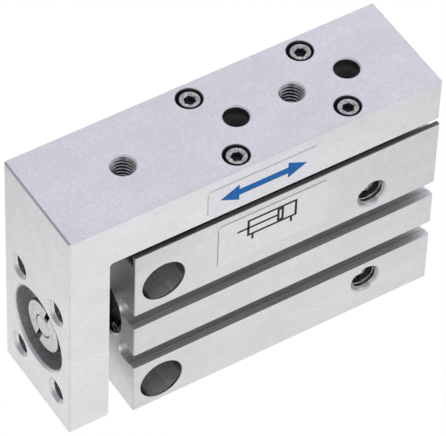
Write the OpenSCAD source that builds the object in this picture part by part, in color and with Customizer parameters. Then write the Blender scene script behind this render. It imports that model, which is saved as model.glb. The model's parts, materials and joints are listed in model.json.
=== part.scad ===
// Pneumatic slide table: a square-edged housing with a cylinder in it, and an L-shaped yoke that the
// piston rod moves along a ball-cage guide. Millimetres. The yoke is drawn fully retracted.
// X runs along the travel, with the front plate at -X. Y is the width, with the air ports at -Y.
// Z is up from the housing's base, and the origin is the middle of the base.

/* [Housing] */
// Length of the housing along the travel
body_len = 55; // [54:0.5:80]
// Width of the housing and of the yoke
body_w = 19.5; // [19.2:0.1:24]
// Height of the housing from its base to the lips of the guide channel
body_h = 36; // [35.5:0.5:40]
// Height of the cylinder's axis above the base
axis_h = 16.9; // [16.4:0.05:17.1]
// Flat taken off every long edge
edge_flat = 0.15; // [0.1:0.05:0.3]
// Thickness of the lip on each side of the guide channel
lip_t = 0.75; // [0.6:0.05:1]
// Depth of the guide channel below the lips
channel_d = 2.7; // [2.6:0.05:3]

/* [Fixing holes of the housing] */
// Distance of the fixing holes from the housing's front face
fixing_x = 5.1; // [4.5:0.1:7]
// Height of the lower fixing hole above the base
fixing_h = 4.85; // [4.5:0.05:5.2]
// Distance between the two fixing holes
fixing_pitch = 23.25; // [22.5:0.05:24]
// Diameter of the through hole
fixing_d = 4.3; // [4.2:0.1:4.6]
// Diameter of the counterbore for the screw's head
fixing_head_d = 7.6; // [7:0.1:8]
// Depth of the counterbore
fixing_head_depth = 7; // [5:0.5:12]

/* [Air ports] */
// Distance of the ports from the housing's rear face
port_inset = 11.95; // [9:0.05:13]
// Height of the lower port above the base
port_h = 6.3; // [6:0.1:6.6]
// Distance between the two ports
port_pitch = 20.2; // [19.8:0.1:21]
// Diameter of the port's thread
port_d = 5; // [4:0.5:5]
// Depth of the port's thread
port_depth = 2.6; // [2.4:0.1:3.4]
// Diameter of the drilled air passages
passage_d = 1.6; // [1:0.1:1.8]

/* [Sensor slots] */
// Height of the lower slot above the base
slot_h = 11.8; // [11.6:0.1:12]
// Distance between the two slots
slot_pitch = 9.4; // [9.2:0.1:9.8]
// Width of the slot's mouth
slot_mouth = 3.1; // [2.8:0.1:3.4]
// Diameter of the round part of the slot
slot_d = 4.2; // [4:0.1:4.3]
// Depth of the round part's axis below the side face
slot_axis_depth = 2.6; // [2.4:0.05:2.65]

/* [Yoke] */
// Thickness of the top plate
plate_t = 8.3; // [7.5:0.1:10]
// Thickness of the front plate
front_t = 7; // [6.5:0.1:9]
// Gap between the front plate and the housing when retracted
front_gap = 4.5; // [3.5:0.1:6]
// Gap between the top plate and the lips of the housing
plate_gap = 1.4; // [1.3:0.05:2]
// Distance that the housing reaches past the yoke at the rear
rear_inset = 0.3; // [0.2:0.1:2]
// Height of the front plate's lower edge above the base
front_lift = 1.7; // [0.5:0.1:3]
// Radius of the front plate's lower rear corner
corner_r = 1; // [0.4:0.1:1.5]
// Radius of the front plate's lower corners at both sides
side_r = 0.4; // [0.2:0.1:1]
// Flat along the front edges of the yoke
front_flat = 0.3; // [0.1:0.05:0.4]
// Radius inside the corner between the plates
inner_r = 0.7; // [0.4:0.1:1.5]

/* [Holes of the top plate] */
// Distance of the first tapped hole from the front face
top_tap_x = 15; // [14:0.5:17]
// Distance between the two tapped holes
top_tap_pitch = 30; // [26:0.5:34]
// Diameter of the tapped holes' thread
top_tap_d = 4; // [3:0.5:4]
// Depth of the tapped holes' thread
top_tap_depth = 6; // [5:0.1:6.5]
// Distance of the first tool hole from the front face
tool_hole_x = 35; // [34:0.5:37]
// Distance between the two tool holes
tool_hole_pitch = 20; // [18:0.5:24]
// Diameter of the tool holes
tool_hole_d = 4.2; // [4.1:0.05:4.6]

/* [Holes of the front plate] */
// Distance across the width between the four tapped holes
front_tap_pitch_y = 11; // [10.6:0.1:12]
// Distance up and down between the four tapped holes
front_tap_pitch_z = 18.4; // [18:0.1:20]
// Diameter of the tapped holes' thread
front_tap_d = 4; // [3:0.5:4]
// Depth of the tapped holes' thread
front_tap_depth = 5; // [4:0.1:5.5]
// Diameter of the round recess for the nut
recess_d = 14.1; // [12:0.1:14.4]
// Depth of the round recess
recess_depth = 3.5; // [3.2:0.1:4]

/* [Carriage and its screws] */
// Distance of the first pair of screws from the front face
carriage_screw_x = 30.8; // [30:0.1:34]
// Distance along the travel between the two pairs
carriage_screw_pitch = 20; // [16:0.5:22]
// Distance of the screws from the sides of the yoke
carriage_screw_inset = 3; // [2.85:0.05:3.2]
// Length of the carriage
carriage_len = 36; // [32:0.5:40]
// Distance between the carriage's legs
leg_gap = 8.8; // [8.7:0.05:9.2]
// Thickness of the carriage's web over the rail
web_t = 1; // [0.8:0.05:1.05]
// Gap between the carriage and the channel, at its sides and under its legs
carriage_clear = 0.3; // [0.2:0.05:0.5]
// Diameter of a carriage screw's head
cap_head_d = 3.8; // [3.6:0.1:3.9]
// Height of a carriage screw's head
cap_head_h = 2; // [1.8:0.1:2.2]
// Distance of the heads below the top face
cap_head_sink = 0.25; // [0.1:0.05:0.6]
// Hexagon of a carriage screw, across flats
cap_hex = 1.5; // [1.3:0.1:1.6]

/* [Rail, cage and balls] */
// Width of the rail
rail_w = 7; // [6.8:0.05:7.1]
// Height of the rail
rail_h = 2.5; // [2.4:0.05:2.6]
// Distance of the rail's ends from the housing's faces
rail_inset = 0.5; // [0.3:0.1:1.5]
// Diameter of a rail screw's countersunk head
rail_head_d = 3.8; // [3.6:0.1:3.9]
// Travel of the yoke at which its tool holes stand over the rail's screws
tool_travel = 6; // [5:0.5:7.5]
// Diameter of the guide balls
ball_d = 1.5; // [1.45:0.05:1.6]
// Distance between two guide balls
ball_pitch = 2.2; // [2:0.1:2.6]
// Number of balls on each side
balls = 11; // [7:1:11]
// Thickness of the cage
cage_t = 0.25; // [0.2:0.01:0.27]

/* [Cylinder] */
// Stroke of the piston
stroke = 20; // [10:1:22]
// Diameter of the cylinder's bore
bore = 10; // [9.5:0.5:10]
// Diameter of the bore at both ends, where the caps sit
cap_bore = 11.4; // [11.3:0.05:11.5]
// Bevel at both mouths of the bore
mouth_bevel = 0.3; // [0.1:0.05:0.35]
// Diameter of the piston rod
rod_d = 4; // [3.5:0.5:4]
// Length of the piston
piston_len = 12.7; // [12:0.1:14]
// Thickness of each end pad
pad_t = 2; // [1.6:0.1:2.4]
// Thickness of the rear cap
rear_cap_t = 3.7; // [3.2:0.1:5]
// Depth of the front retaining ring below the housing's front face
front_mouth = 0.5; // [0.4:0.1:1.2]
// Depth of the rear retaining ring below the housing's rear face
rear_mouth = 1.3; // [0.8:0.1:2]
// Thickness of the retaining rings
ring_t = 0.9; // [0.7:0.05:1]
// Radial width of the retaining rings
ring_w = 1; // [0.8:0.05:1.2]
// Thickness of the two O-rings
cord_d = 1.2; // [1:0.05:1.3]
// Thickness of the rod wiper
wiper_t = 1.5; // [1.3:0.1:1.8]
// Radial width of the rod wiper
wiper_w = 1.5; // [1.2:0.1:1.7]
// Wall of the rod bush
bush_wall = 1; // [0.8:0.1:1.3]
// Thickness of the rod seal
rod_seal_t = 2.4; // [2:0.1:2.8]
// Radial width of the rod seal
rod_seal_w = 1.7; // [1.4:0.1:1.9]

/* [Nuts] */
// Diameter of the slotted nut
nut_d = 9.1; // [8:0.1:10]
// Thickness of the slotted nut
nut_t = 2.5; // [2:0.1:2.8]
// Width of its screwdriver slot
nut_slot_w = 1.05; // [0.8:0.05:1.4]
// Depth of its screwdriver slot
nut_slot_depth = 1.3; // [0.8:0.1:1.6]
// Turn of its slot from upright
nut_turn = 21; // [0:1:179]
// Size of the lock nut across flats
lock_nut_af = 7; // [6.6:0.1:8]
// Thickness of the lock nut
lock_nut_t = 2.2; // [1.6:0.1:2.4]

/* [Clearances] */
// Radial clearance of a sliding fit
fit = 0.02; // [0.015:0.005:0.04]
// Gap between the piston and an end pad at the end of its travel
end_gap = 0.1; // [0.05:0.05:0.3]

/* [Hidden] */
$fn = 64;

past = 0.5;                      // distance that a cut runs past the face it opens
point = tan(31);                 // depth of a drill's point for each millimetre of its radius

// Planes across the travel
front_x = -(front_t + front_gap + body_len) / 2;
plate_back_x = front_x + front_t;
body_x0 = plate_back_x + front_gap;
body_x1 = body_x0 + body_len;
yoke_x1 = body_x1 - rear_inset;

// Levels
channel_z = body_h - channel_d;
plate_z0 = body_h + plate_gap;
plate_z1 = plate_z0 + plate_t;
side_y = body_w / 2;
channel_y = side_y - lip_t;

// Cylinder, from the rear forwards
groove_t = ring_t + 0.1;         // a ring's groove is this wide
groove_deep = 0.35;              // and this deep
rear_ring_x = body_x1 - rear_mouth - groove_t;
rear_cap_x = rear_ring_x - rear_cap_t;
rear_pad_x = rear_cap_x - pad_t;
piston_x1 = rear_pad_x - end_gap;
piston_x0 = piston_x1 - piston_len;
front_pad_x1 = piston_x0 - stroke - end_gap;
front_cap_x1 = front_pad_x1 - pad_t;
front_ring_x = body_x0 + front_mouth;
front_cap_x0 = front_ring_x + groove_t;
cap_d = cap_bore - 2 * fit;
pad_d = bore - 0.4;
pad_hole = rod_d + 1;
cord_groove_w = cord_d + 0.3;
cord_r = cap_bore / 2 - fit - cord_d / 2;      // radius of an O-ring's centre line

// Bearing cap: wiper, bush and seal follow each other along the rod
wiper_d = rod_d + 2 * wiper_w;
bush_d = rod_d + 2 * bush_wall;
bush_x0 = front_cap_x0 + wiper_t + 0.4;
seal_d = rod_d + 2 * rod_seal_w;
seal_x0 = front_cap_x1 - rod_seal_t;
bush_x1 = seal_x0 - 0.4;
front_cord_x = (front_cap_x0 + front_cap_x1) / 2;

// Piston: front flange, seal, magnet, guide ring, seal and disc
flange_t = 2;
lip_ring_t = 1.8;
guide_ring_t = 1.5;
magnet_t = piston_len - 2 * flange_t - 2 * lip_ring_t - guide_ring_t;
hub_d = rod_d + 2.4;
seal_front_x = piston_x0 + flange_t;
magnet_x = seal_front_x + lip_ring_t;
guide_ring_x = magnet_x + magnet_t;
seal_rear_x = guide_ring_x + guide_ring_t;
disc_x = seal_rear_x + lip_ring_t;
rivet_d = 3;

// Rod and nuts
nut_x1 = front_x + recess_depth;
nut_x0 = nut_x1 - nut_t;
rod_x0 = nut_x0;
rod_hole_d = rod_d + 0.2;

// Carriage
carriage_x = front_x + carriage_screw_x + carriage_screw_pitch / 2;
carriage_y = channel_y - carriage_clear - 0.2;
carriage_z0 = channel_z + carriage_clear;
screw_d = 2;
screw_seat_z = plate_z1 - cap_head_sink - cap_head_h;
screw_len = screw_seat_z - plate_z0 + 2.4;
cap_well_d = cap_head_d + 0.4;
hole_bevel = 0.2;                // bevel at the mouths of the wells and the tool holes

// Rail, its screws and the balls
rail_x0 = body_x0 + rail_inset;
rail_x1 = body_x1 - rail_inset;
rail_z1 = channel_z + rail_h;
rail_screw_d = 2;
rail_screw_len = 6;
rail_head_h = (rail_head_d - rail_screw_d) / 2;
ball_y = (rail_w + leg_gap) / 4;
ball_z = channel_z + rail_h / 2 + 0.15;
ball_groove = ball_d + 2 * fit;
cage_x = carriage_x - stroke / 4;
cage_len = balls * ball_pitch + 0.3;
cage_z1 = (rail_z1 + plate_z0 - web_t) / 2 + cage_t / 2;
cage_z0 = channel_z + 0.45;
strip_t = 0.45;

// Air passages
passage_y = -4;
passage_z_low = port_h;
passage_z_high = port_h + port_pitch;
port_x = body_x1 - port_inset;
front_feed_x = front_cap_x1 + pad_t / 2;
rear_feed_x = rear_pad_x + pad_t / 2;
plug_d = passage_d + 0.4;
plug_seat = 2.4;                 // depth of the wider mouth that holds a plug

// --- Shapes that repeat ---------------------------------------------------------------------------

// Round bar along the travel, from x0 to x1, on the cylinder's axis unless told otherwise
module bar_x(d, x0, x1, y = 0, z = axis_h) {
    translate([x0, y, z]) rotate([0, 90, 0]) cylinder(d = d, h = x1 - x0);
}

// Ring round the cylinder's axis
module ring_x(outer, inner, x0, x1) {
    difference() {
        bar_x(outer, x0, x1);
        bar_x(inner, x0 - past, x1 + past);
    }
}

// Turns a profile of [distance along the axis from x0, radius] points about the cylinder's axis
module turned(points, x0) {
    translate([x0, 0, axis_h]) rotate([0, 90, 0]) rotate_extrude()
        polygon([for (p = points) [p[1], p[0]]]);
}

// Cutter of a blind tapped hole that opens at z = 0 and goes down: mouth, wall and drill point
module tapped_hole(d, depth, mouth) {
    rotate_extrude() polygon([
        [0, past], [mouth / 2 + past, past], [d / 2, -(mouth - d) / 2],
        [d / 2, -depth], [0, -depth - point * d / 2]]);
}

// Rectangle with its corners cut off by a flat
module flat_cornered(size, cut) {
    polygon([
        [cut, 0], [size[0] - cut, 0], [size[0], cut], [size[0], size[1] - cut],
        [size[0] - cut, size[1]], [cut, size[1]], [0, size[1] - cut], [0, cut]]);
}

// Block with a flat along all twelve edges, made of three crossed bars
module flat_edged_block(low, high, cut) {
    size = high - low;
    translate(low) intersection() {
        linear_extrude(size[2]) flat_cornered([size[0], size[1]], cut);
        translate([0, size[1], 0]) rotate([90, 0, 0])
            linear_extrude(size[1]) flat_cornered([size[0], size[2]], cut);
        rotate([90, 0, 90]) linear_extrude(size[0]) flat_cornered([size[1], size[2]], cut);
    }
}

// Retaining ring for a bore: an open ring with two eyes, its gap turned to the angle given
module retaining_ring(x0, gap_angle) {
    outer_r = cap_bore / 2 + groove_deep - 0.05;
    eye_r = cap_bore / 2 - 0.85;
    eye_turn = asin(1.4 / eye_r);
    translate([x0 + 0.05, 0, axis_h]) rotate([90, 0, 90]) rotate(gap_angle) difference() {
        union() {
            difference() {
                cylinder(r = outer_r, h = ring_t);
                translate([0, 0, -past]) cylinder(r = outer_r - ring_w, h = ring_t + 2 * past);
                translate([0, -0.5, -past]) cube([outer_r + past, 1, ring_t + 2 * past]);
            }
            for (side = [-1, 1]) rotate(side * eye_turn) translate([eye_r, 0, 0])
                cylinder(d = 1.9, h = ring_t);
        }
        for (side = [-1, 1]) rotate(side * eye_turn) translate([eye_r, 0, -past])
            cylinder(d = 0.9, h = ring_t + 2 * past);
    }
}

// --- Housing --------------------------------------------------------------------------------------

// Keyhole slot for a sensor, open along the whole side
module sensor_slot(z) {
    bar_x(slot_d, body_x0 - past, body_x1 + past, -side_y + slot_axis_depth, z);
    translate([body_x0 - past, -side_y - past, z - slot_mouth / 2])
        cube([body_len + 2 * past, slot_axis_depth + past, slot_mouth]);
}

// Through hole across the width with a deep counterbore on the port side
module fixing_hole(z) {
    translate([body_x0 + fixing_x, -side_y, z]) rotate([-90, 0, 0]) {
        translate([0, 0, -past]) cylinder(d = fixing_d, h = body_w + 2 * past);
        translate([0, 0, -past]) cylinder(d = fixing_head_d, h = fixing_head_depth + past);
    }
}

// Air port, its drilled passage to the rear face and the feeds from the port and into the bore's end
module air_way(z, feed_x) {
    translate([port_x, -side_y, z]) rotate([90, 0, 0]) tapped_hole(port_d, port_depth, port_d + 0.5);
    translate([port_x, passage_y, z]) rotate([90, 0, 0])
        cylinder(d = passage_d - 0.4, h = side_y + passage_y - port_depth);
    bar_x(passage_d, min(feed_x, port_x), body_x1 + past, passage_y, z);
    bar_x(plug_d, body_x1 - plug_seat, body_x1 + past, passage_y, z);
    translate([feed_x, passage_y, min(z, axis_h)])
        cylinder(d = passage_d - 0.4, h = abs(z - axis_h));
}

// Stepped bore for the piston and the two caps, turned, with a groove for each retaining ring
module cylinder_bore() {
    cap_r = cap_bore / 2;
    groove_r = cap_r + groove_deep;
    front_step = front_cap_x1 - body_x0;
    rear_step = rear_cap_x - body_x0;
    rear_groove = rear_ring_x - body_x0;
    mouth_r = cap_r + mouth_bevel;
    turned([
        [-past, 0], [-past, mouth_r], [0, mouth_r], [mouth_bevel, cap_r], [front_mouth, cap_r],
        [front_mouth, groove_r], [front_mouth + groove_t, groove_r], [front_mouth + groove_t, cap_r],
        [front_step, cap_r], [front_step, bore / 2], [rear_step, bore / 2], [rear_step, cap_r],
        [rear_groove, cap_r], [rear_groove, groove_r], [rear_groove + groove_t, groove_r],
        [rear_groove + groove_t, cap_r], [body_len - mouth_bevel, cap_r], [body_len, mouth_r],
        [body_len + past, mouth_r], [body_len + past, 0]], body_x0);
}

module housing() {
    color("gainsboro") difference() {
        flat_edged_block([body_x0, -side_y, 0], [body_x1, side_y, body_h], edge_flat);
        translate([body_x0 - past, -channel_y, channel_z])
            cube([body_len + 2 * past, 2 * channel_y, channel_d + past]);
        for (z = [slot_h, slot_h + slot_pitch]) sensor_slot(z);
        for (z = [fixing_h, fixing_h + fixing_pitch]) fixing_hole(z);
        air_way(passage_z_low, rear_feed_x);
        air_way(passage_z_high, front_feed_x);
        cylinder_bore();
        rail_screw_places() translate([0, 0, channel_z - rail_screw_len + rail_h - 0.4])
            cylinder(d = rail_screw_d + 2 * fit, h = rail_screw_len);
    }
}

// --- Guide ----------------------------------------------------------------------------------------

// Puts its children at the axes of the rail screws, which the tool holes reach at one travel of the yoke
module rail_screw_places() {
    for (n = [0, 1])
        translate([front_x + tool_hole_x + n * tool_hole_pitch - tool_travel, 0, 0]) children();
}

// Countersunk screw, turned: flat head on top and a plain shank
module rail_screws() {
    color("silver") rail_screw_places() difference() {
        translate([0, 0, rail_z1 - 0.1]) rotate_extrude() polygon([
            [0, 0], [rail_head_d / 2, 0], [rail_screw_d / 2, -rail_head_h],
            [rail_screw_d / 2, -rail_screw_len], [0, -rail_screw_len]]);
        translate([0, 0, rail_z1 - 0.8]) cylinder(r = 1.3 / sqrt(3), h = 1, $fn = 6);
    }
}

// Grooves that the balls of both sides run in
module ball_grooves(x0, x1) {
    for (side = [-1, 1]) bar_x(ball_groove, x0 - past, x1 + past, side * ball_y, ball_z);
}

module guide_rail() {
    color("lightsteelblue") difference() {
        flat_edged_block([rail_x0, -rail_w / 2, channel_z], [rail_x1, rail_w / 2, rail_z1], 0.15);
        ball_grooves(rail_x0, rail_x1);
        rail_screw_places() translate([0, 0, rail_z1 - 0.1]) rotate_extrude() polygon([
            [0, past], [rail_head_d / 2 + fit, past], [rail_head_d / 2 + fit, 0],
            [rail_screw_d / 2 + fit, -rail_head_h], [rail_screw_d / 2 + fit, -rail_h - past],
            [0, -rail_h - past]]);
    }
}

// Puts its children at the axes of the carriage screws
module carriage_screw_places() {
    for (n = [0, 1], side = [-1, 1])
        translate([front_x + carriage_screw_x + n * carriage_screw_pitch, side * (side_y - carriage_screw_inset), 0])
            children();
}

// Puts its children at the axes of the two tool holes
module tool_hole_places() {
    for (n = [0, 1]) translate([front_x + tool_hole_x + n * tool_hole_pitch, 0, 0]) children();
}

// U-shaped saddle: web over the rail and a leg on each side with a ball groove
module carriage() {
    x0 = carriage_x - carriage_len / 2;
    x1 = carriage_x + carriage_len / 2;
    color("slategray") difference() {
        flat_edged_block([x0, -carriage_y, carriage_z0], [x1, carriage_y, plate_z0], 0.2);
        translate([x0 - past, -leg_gap / 2, carriage_z0 - past])
            cube([carriage_len + 2 * past, leg_gap, plate_z0 - web_t - carriage_z0 + past]);
        ball_grooves(x0, x1);
        tool_hole_places() translate([0, 0, plate_z0 - web_t - past])
            cylinder(d = tool_hole_d, h = web_t + 2 * past);
        carriage_screw_places() translate([0, 0, carriage_z0 - past])
            cylinder(d = screw_d + 2 * fit, h = plate_z0 - carriage_z0 + 2 * past);
    }
}

// Socket cap screw, turned: bevelled head with a hexagon, and a plain shank
module carriage_screws() {
    bevel = 0.22;
    color("silver") carriage_screw_places() translate([0, 0, screw_seat_z]) difference() {
        rotate_extrude() polygon([
            [0, cap_head_h], [cap_head_d / 2 - bevel, cap_head_h], [cap_head_d / 2, cap_head_h - bevel],
            [cap_head_d / 2, 0], [screw_d / 2, 0], [screw_d / 2, -screw_len], [0, -screw_len]]);
        translate([0, 0, cap_head_h / 2]) cylinder(r = cap_hex / sqrt(3), h = cap_head_h, $fn = 6);
    }
}

// Puts its children at the centre of every ball
module ball_places() {
    for (n = [0:balls - 1], side = [-1, 1])
        translate([cage_x + (n - (balls - 1) / 2) * ball_pitch, side * ball_y, ball_z]) children();
}

// Cage: a pierced strip on each side, joined over the rail by three cross bars
module ball_cage() {
    x0 = cage_x - cage_len / 2;
    half_w = ball_y + strip_t / 2;
    bar_w = 2.4;
    color("goldenrod") difference() {
        union() {
            for (side = [-1, 1]) translate([x0, side * ball_y - strip_t / 2, cage_z0])
                cube([cage_len, strip_t, cage_z1 - cage_z0]);
            for (share = [0, 0.5, 1])
                translate([x0 + share * (cage_len - bar_w), -half_w, cage_z1 - cage_t])
                    cube([bar_w, 2 * half_w, cage_t]);
        }
        ball_places() rotate([90, 0, 0]) cylinder(d = ball_groove, h = 2 * strip_t, center = true);
    }
}

module guide_balls() {
    color("whitesmoke") ball_places() sphere(d = ball_d);
}

// --- Yoke -----------------------------------------------------------------------------------------

// Side outline of the yoke: top plate, front plate, the small radius between them and the rounded
// lower rear corner
module yoke_outline() {
    difference() {
        polygon([
            [front_x + edge_flat, front_lift], [plate_back_x - corner_r, front_lift],
            [plate_back_x, front_lift + corner_r], [plate_back_x, plate_z0 - inner_r],
            [plate_back_x + inner_r, plate_z0], [yoke_x1 - edge_flat, plate_z0],
            [yoke_x1, plate_z0 + edge_flat], [yoke_x1, plate_z1 - edge_flat],
            [yoke_x1 - edge_flat, plate_z1], [front_x + front_flat, plate_z1],
            [front_x, plate_z1 - front_flat], [front_x, front_lift + edge_flat]]);
        translate([plate_back_x + inner_r, plate_z0 - inner_r]) circle(r = inner_r);
    }
    translate([plate_back_x - corner_r, front_lift + corner_r]) intersection() {
        circle(r = corner_r);
        translate([0, -corner_r]) square([corner_r, corner_r]);
    }
}

// Front view of the yoke: square top with flats, and rounded lower corners
module yoke_front() {
    r = side_r;
    translate([-side_y, front_lift]) {
        difference() {
            flat_cornered([body_w, plate_z1 - front_lift], edge_flat);
            for (side = [0, 1]) translate([side * (body_w - r), 0]) square([r, r]);
        }
        for (side = [0, 1]) translate([side * (body_w - 2 * r) + r, r]) intersection() {
            circle(r = r);
            translate([-r + side * r, -r]) square([r, r]);
        }
    }
}

// Plan of the yoke: a rectangle with a flat on each corner, the front ones wider
module yoke_plan() {
    polygon([
        [front_x + front_flat, -side_y], [yoke_x1 - edge_flat, -side_y], [yoke_x1, edge_flat - side_y],
        [yoke_x1, side_y - edge_flat], [yoke_x1 - edge_flat, side_y], [front_x + front_flat, side_y],
        [front_x, side_y - front_flat], [front_x, front_flat - side_y]]);
}

// Cutter of a bevel at the mouth of a hole that opens upwards at z = 0
module mouth_cut(d) {
    translate([0, 0, -hole_bevel])
        cylinder(d1 = d, d2 = d + 4 * hole_bevel, h = 2 * hole_bevel);
}

module yoke_blank() {
    intersection() {
        translate([0, side_y, 0]) rotate([90, 0, 0]) linear_extrude(body_w) yoke_outline();
        translate([front_x, 0, 0]) rotate([90, 0, 90]) linear_extrude(yoke_x1 - front_x) yoke_front();
        linear_extrude(plate_z1) yoke_plan();
    }
}

// Round recess for the nut, with a small bevel at its mouth, and the hole for the rod
module nut_recess() {
    bevel = 0.45;
    turned([[-past, 0], [-past, recess_d / 2 + bevel + past], [bevel, recess_d / 2],
            [recess_depth, recess_d / 2], [recess_depth, rod_hole_d / 2],
            [front_t + past, rod_hole_d / 2], [front_t + past, 0]], front_x);
}

module slide_yoke() {
    color("lavender") difference() {
        yoke_blank();
        for (n = [0, 1]) translate([front_x + top_tap_x + n * top_tap_pitch, 0, plate_z1])
            tapped_hole(top_tap_d, top_tap_depth, top_tap_d + 0.5);
        tool_hole_places() translate([0, 0, plate_z0 - past])
            cylinder(d = tool_hole_d, h = plate_t + 2 * past);
        tool_hole_places() translate([0, 0, plate_z1]) mouth_cut(tool_hole_d);
        carriage_screw_places() {
            translate([0, 0, plate_z1]) mouth_cut(cap_well_d);
            translate([0, 0, plate_z0 - past]) cylinder(d = screw_d + 0.2, h = plate_t);
            translate([0, 0, screw_seat_z]) cylinder(d = cap_well_d, h = cap_head_h + 2 * past);
        }
        nut_recess();
        for (side_a = [-1, 1], side_b = [-1, 1])
            translate([front_x, side_a * front_tap_pitch_y / 2, axis_h + side_b * front_tap_pitch_z / 2])
                rotate([0, -90, 0]) tapped_hole(front_tap_d, front_tap_depth, front_tap_d + 0.7);
    }
}

// --- Rod, nuts and piston -------------------------------------------------------------------------

// Rod with a bevelled front end and a thinner riveted end that passes through the piston
module piston_rod() {
    bevel = 0.25;
    end_x = piston_x1 - 0.3;
    color("gainsboro") turned([
        [0, 0], [0, rod_d / 2 - bevel], [bevel, rod_d / 2], [piston_x0 - rod_x0, rod_d / 2],
        [piston_x0 - rod_x0, rivet_d / 2], [end_x - rod_x0, rivet_d / 2], [end_x - rod_x0, 0]], rod_x0);
}

// Round nut with a bevelled front edge and a slot across it
module slotted_nut() {
    bevel = 0.2;
    color("lightgray") difference() {
        turned([[0, rod_d / 2 + fit], [0, nut_d / 2 - bevel], [bevel, nut_d / 2],
                [nut_t, nut_d / 2], [nut_t, rod_d / 2 + fit]], nut_x0);
        translate([nut_x0, 0, axis_h]) rotate([nut_turn, 0, 0])
            translate([-past, -nut_slot_w / 2, -nut_d])
                cube([nut_slot_depth + past, nut_slot_w, 2 * nut_d]);
    }
}

// Thin hexagon nut with turned corners
module lock_nut() {
    corner = lock_nut_af / sqrt(3);
    bevel = 0.3;
    color("silver") intersection() {
        difference() {
            translate([plate_back_x, 0, axis_h]) rotate([0, 90, 0])
                cylinder(r = corner, h = lock_nut_t, $fn = 6);
            bar_x(rod_d + 2 * fit, plate_back_x - past, plate_back_x + lock_nut_t + past);
        }
        turned([[0, 0], [0, corner - bevel], [bevel, corner], [lock_nut_t - bevel, corner],
                [lock_nut_t, corner - bevel], [lock_nut_t, 0]], plate_back_x);
    }
}

// Front half of the piston: a flange and the hub that carries the rings
module piston() {
    hub_x1 = disc_x - piston_x0;
    color("darkgray") turned([
        [0, rivet_d / 2 + fit], [0, bore / 2 - 0.3], [0.25, bore / 2 - 0.05],
        [flange_t, bore / 2 - 0.05], [flange_t, hub_d / 2], [hub_x1, hub_d / 2],
        [hub_x1, rivet_d / 2 + fit]], piston_x0);
}

// Rear half of the piston, held by the rod's riveted end
module piston_disc() {
    color("darkgray") turned([
        [0, rivet_d / 2 + fit], [0, bore / 2 - 0.05], [flange_t - 0.25, bore / 2 - 0.05],
        [flange_t, bore / 2 - 0.3], [flange_t, rivet_d / 2 + fit]], disc_x);
}

module piston_magnet() {
    color("dimgray") ring_x(bore - 0.8, hub_d + 2 * fit, magnet_x, magnet_x + magnet_t);
}

module piston_guide_ring() {
    color("ivory") ring_x(bore - 2 * fit, hub_d + 2 * fit, guide_ring_x, guide_ring_x + guide_ring_t);
}

// Two lip rings with their lips to the pressure, mirror images of each other
module piston_seals() {
    outer = bore / 2 - fit;
    inner = hub_d / 2 + fit;
    t = lip_ring_t;
    lip = [[0, inner], [0, inner + 0.45], [t / 2, (inner + outer) / 2], [0.1, outer],
           [t / 2, outer], [t, outer - 0.15], [t, inner]];
    color("darkolivegreen") {
        turned(lip, seal_front_x);
        turned([for (p = lip) [t - p[0], p[1]]], seal_rear_x);
    }
}

// --- Caps and seals of the cylinder ---------------------------------------------------------------

// Front cap: bevelled nose, O-ring groove outside, and seats for wiper, bush and rod seal inside
module bearing_cap() {
    length = front_cap_x1 - front_cap_x0;
    groove = front_cord_x - front_cap_x0 - cord_groove_w / 2;
    groove_r = cord_r - cord_d / 2 - 0.05;
    color("#26262a") turned([
        [0, wiper_d / 2], [0, cap_d / 2 - 0.3], [0.3, cap_d / 2], [groove, cap_d / 2],
        [groove, groove_r], [groove + cord_groove_w, groove_r], [groove + cord_groove_w, cap_d / 2],
        [length, cap_d / 2], [length, seal_d / 2], [seal_x0 - front_cap_x0, seal_d / 2],
        [seal_x0 - front_cap_x0, rod_d / 2 + 0.15], [bush_x1 - front_cap_x0, rod_d / 2 + 0.15],
        [bush_x1 - front_cap_x0, bush_d / 2], [bush_x0 - front_cap_x0, bush_d / 2],
        [bush_x0 - front_cap_x0, rod_d / 2 + 0.15], [wiper_t, rod_d / 2 + 0.15],
        [wiper_t, wiper_d / 2]], front_cap_x0);
}

module rod_bush() {
    color("peru") ring_x(bush_d - 2 * fit, rod_d + 2 * fit, bush_x0, bush_x1);
}

// Wiper with a lip that stands out of the cap and scrapes the rod
module rod_wiper() {
    lip = 0.35;
    color("#303030") turned([
        [-lip, rod_d / 2 + fit], [-lip, rod_d / 2 + 0.3], [0, rod_d / 2 + 0.75],
        [0, wiper_d / 2 - fit], [wiper_t - fit, wiper_d / 2 - fit],
        [wiper_t - fit, rod_d / 2 + 0.25], [0.6, rod_d / 2 + 0.25]], front_cap_x0);
}

// Cup seal on the rod, open towards the pressure
module rod_seal() {
    inner = rod_d / 2 + fit;
    outer = seal_d / 2 - fit;
    lips = rod_seal_t - 0.2;
    color("darkolivegreen") turned([
        [fit, inner + 0.15], [lips / 2, inner], [lips, inner], [lips / 2, (inner + outer) / 2],
        [lips, outer], [fit, outer]], seal_x0);
}

// O-ring in the groove of a cap
module o_ring(x) {
    color("#1c1c1c") translate([x, 0, axis_h]) rotate([0, 90, 0]) rotate_extrude()
        translate([cord_r, 0]) circle(d = cord_d - 2 * fit);
}

module cap_o_ring() {
    o_ring(front_cord_x);
}

module front_retaining_ring() {
    color("#3a3a3c") retaining_ring(front_ring_x, 244);
}

// Elastic end pad with a bevelled edge towards the piston
module end_pad(x0, hole, sign) {
    bevel = 0.4;
    face = sign > 0 ? [[0, pad_d / 2], [pad_t - bevel, pad_d / 2], [pad_t, pad_d / 2 - bevel]]
                    : [[0, pad_d / 2 - bevel], [bevel, pad_d / 2], [pad_t, pad_d / 2]];
    color("olive") turned(concat([[0, hole / 2]], face, [[pad_t, hole / 2]]), x0);
}

module front_cushion() {
    end_pad(front_cap_x1, pad_hole, 1);
}

module rear_cushion() {
    end_pad(rear_pad_x, pad_hole, -1);
}

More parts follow.
